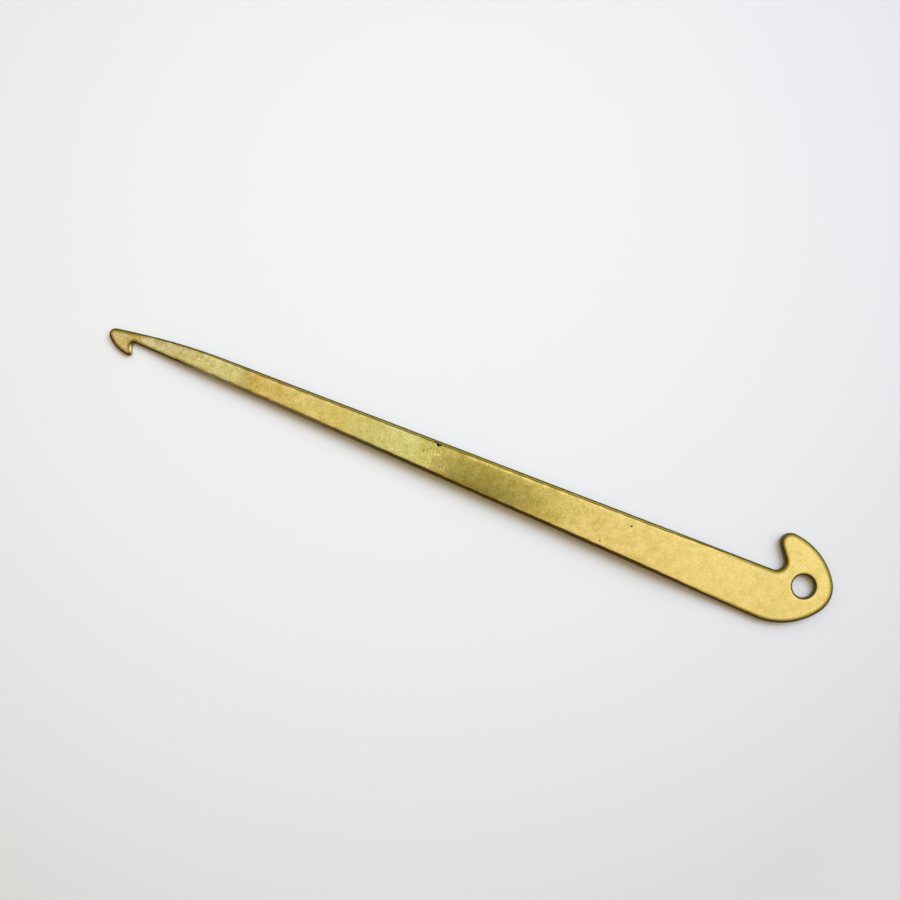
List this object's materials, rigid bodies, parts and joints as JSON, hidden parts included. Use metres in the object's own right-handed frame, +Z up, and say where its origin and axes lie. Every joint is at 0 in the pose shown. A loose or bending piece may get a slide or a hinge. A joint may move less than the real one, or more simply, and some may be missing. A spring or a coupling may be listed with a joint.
{
  "type": "reed hook",
  "caption": "Flat brass weaving tool with a small barb under its slim tip, and a large hook with a hanging hole at its wide head, for drawing yarn through the gaps of a reed.",
  "frame": {"origin": "under the middle of the bounding box, on the surface that the tool lies on", "axes": "+X along the tool from the barbed tip to the head, +Y across it towards the large hook's prong, +Z up out of the upper face"},
  "size_m": [0.1524, 0.018, 0.0027],
  "materials": {
    "brass": "satin, tumbled after stamping"
  },
  "bodies": {
    "root": {"hook_blade": "brass"}
  },
  "joints": []
}
